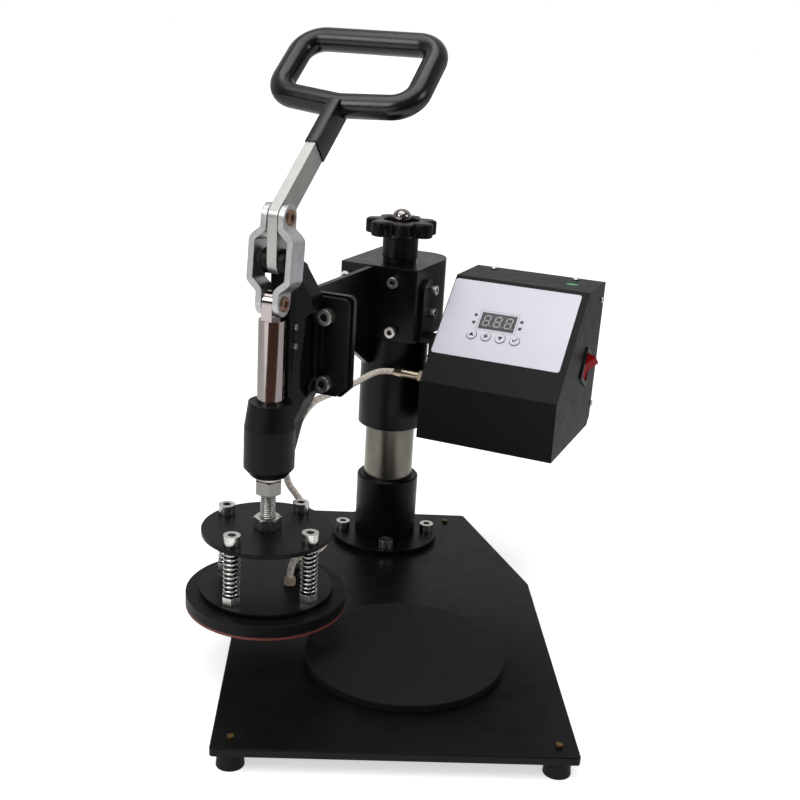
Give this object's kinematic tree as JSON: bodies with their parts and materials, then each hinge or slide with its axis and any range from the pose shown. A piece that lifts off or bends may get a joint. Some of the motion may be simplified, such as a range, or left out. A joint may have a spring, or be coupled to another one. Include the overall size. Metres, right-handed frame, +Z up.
{
  "type": "swing head heat press",
  "caption": "Bench heat press: a toggle lever lowers a round sprung heating plate from a swinging arm on a post on to a rubber pad; a sloping control box rides on the arm.",
  "frame": {"origin": "on the bench, on the axis of the upright post", "axes": "+X to the operator's right, +Y away from the operator, +Z up"},
  "size_m": [0.3542, 0.4342, 0.4883],
  "materials": {
    "beige_insulation": "braided",
    "black_aluminium": "dark anodised",
    "black_plastic": "satin",
    "black_powder_coat": "semi-gloss",
    "black_rubber": "matt",
    "board_green": "gloss",
    "brass": "satin",
    "bright_screws": "bright",
    "bronze": "satin",
    "cast_iron": "painted black",
    "chrome": "polished",
    "display_black": "gloss",
    "gloss_black_paint": "gloss",
    "grey_aluminium": "satin",
    "grey_label": "printed",
    "grip_rubber": "gloss",
    "ground_steel": "ground",
    "lamp_plastic": "gloss",
    "red_plastic": "gloss",
    "red_rubber": "matt",
    "spring_steel": "bright",
    "white_keys": "gloss",
    "zinc_steel": "zinc plated"
  },
  "bodies": {
    "base": {"base_plate": "gloss_black_paint", "rubber_feet": "black_rubber", "foot_screws": "brass", "silicone_pad": "black_rubber", "post_flange": "gloss_black_paint", "post_socket": "gloss_black_paint", "flange_bolts": "bright_screws", "post_column": "ground_steel"},
    "turret": {"swing_sleeve": "black_powder_coat", "swing_bush": "bronze", "turret_block": "black_powder_coat", "turret_screws": "bright_screws", "arm_plate": "black_powder_coat", "clamp_body": "cast_iron", "clamp_bolts": "bright_screws", "guide_screws": "bright_screws", "pivot_pin": "zinc_steel", "controller_bracket": "black_powder_coat", "bracket_screws": "bright_screws", "controller_case": "black_powder_coat", "controller_back": "black_powder_coat", "panel_label": "grey_label", "display_module": "display_black", "led_lamps": "lamp_plastic", "circuit_board": "board_green", "heater_relay": "black_plastic", "mains_inlet": "black_plastic", "case_screws": "bright_screws", "rocker_bezel": "black_plastic", "cable_gland": "brass", "heater_cable": "beige_insulation"},
    "knob": {"knob_washer": "black_plastic", "star_knob": "black_plastic", "knob_screw": "chrome"},
    "lever": {"lever_bar": "zinc_steel", "stem_sleeve": "grip_rubber", "handle_loop": "zinc_steel", "handle_grip": "grip_rubber"},
    "ram": {"ram_rod": "chrome", "lock_nut": "zinc_steel"},
    "links": {"link_plates": "zinc_steel", "link_screws": "zinc_steel"},
    "head": {"height_stud": "zinc_steel", "stud_nut": "bright_screws", "pressure_disc": "gloss_black_paint", "pressure_springs": "spring_steel"},
    "platen": {"spring_bolts": "bright_screws", "spring_nuts": "bright_screws", "backing_disc": "gloss_black_paint", "heating_plate": "black_aluminium", "platen_rim": "red_rubber", "heater_element": "grey_aluminium", "thermocouple": "ground_steel", "cable_sleeve": "beige_insulation"},
    "raise_key": {"button_raise": "white_keys"},
    "mode_key": {"button_mode": "white_keys"},
    "lower_key": {"button_lower": "white_keys"},
    "set_key": {"button_set": "white_keys"},
    "rocker": {"power_rocker": "red_plastic"}
  },
  "joints": [
    {"name": "head_swing", "type": "hinge", "parent": "base", "child": "turret", "pos_m": [0, 0, 0.18], "axis": [0, 0, 1], "range_deg": [-65, 115]},
    {"name": "lever_swing", "type": "hinge", "parent": "turret", "child": "lever", "pos_m": [-0.09773, -0.20489, 0.325], "axis": [0.9026, -0.4305, 0], "range_deg": [0, 89.5]},
    {"name": "ram_slide", "type": "slide", "parent": "turret", "child": "ram", "axis": [0, 0, -1], "range_m": [0, 0.02672], "deforming": ["heater_cable"]},
    {"name": "link_swing", "type": "hinge", "parent": "ram", "child": "links", "pos_m": [-0.10039, -0.21048, 0.2955], "axis": [0.9026, -0.4305, 0], "range_deg": [0, 30.8]},
    {"name": "height_adjust", "type": "slide", "parent": "ram", "child": "head", "axis": [0, 0, 1], "range_m": [0, 0.01]},
    {"name": "platen_float", "type": "slide", "parent": "head", "child": "platen", "axis": [0, 0, 1], "range_m": [0, 0.012], "stiffness_N_per_m": 12000, "springref_m": -0.01, "deforming": ["pressure_springs"]},
    {"name": "knob_turn", "type": "hinge", "parent": "base", "child": "knob", "pos_m": [0, 0, 0.3], "axis": [0, 0, 1], "range_deg": [0, 360]},
    {"name": "rocker_tilt", "type": "hinge", "parent": "turret", "child": "rocker", "pos_m": [0.16881, -0.03399, 0.208], "axis": [-0.3651, -0.7654, 0.5299], "range_deg": [0, 20]},
    {"name": "raise_press", "type": "slide", "parent": "turret", "child": "raise_key", "axis": [0.3138, 0.658, -0.6845], "range_m": [0, 0.0008], "stiffness_N_per_m": 500, "springref_m": -0.002},
    {"name": "mode_press", "type": "slide", "parent": "turret", "child": "mode_key", "axis": [0.3138, 0.658, -0.6845], "range_m": [0, 0.0008], "stiffness_N_per_m": 500, "springref_m": -0.002},
    {"name": "lower_press", "type": "slide", "parent": "turret", "child": "lower_key", "axis": [0.3138, 0.658, -0.6845], "range_m": [0, 0.0008], "stiffness_N_per_m": 500, "springref_m": -0.002},
    {"name": "set_press", "type": "slide", "parent": "turret", "child": "set_key", "axis": [0.3138, 0.658, -0.6845], "range_m": [0, 0.0008], "stiffness_N_per_m": 500, "springref_m": -0.002}
  ],
  "couplings": [
    {"joint": "ram_slide", "follows": "lever_swing", "m_per_rad": 0.017094},
    {"joint": "link_swing", "follows": "lever_swing", "ratio": 0.3426}
  ]
}
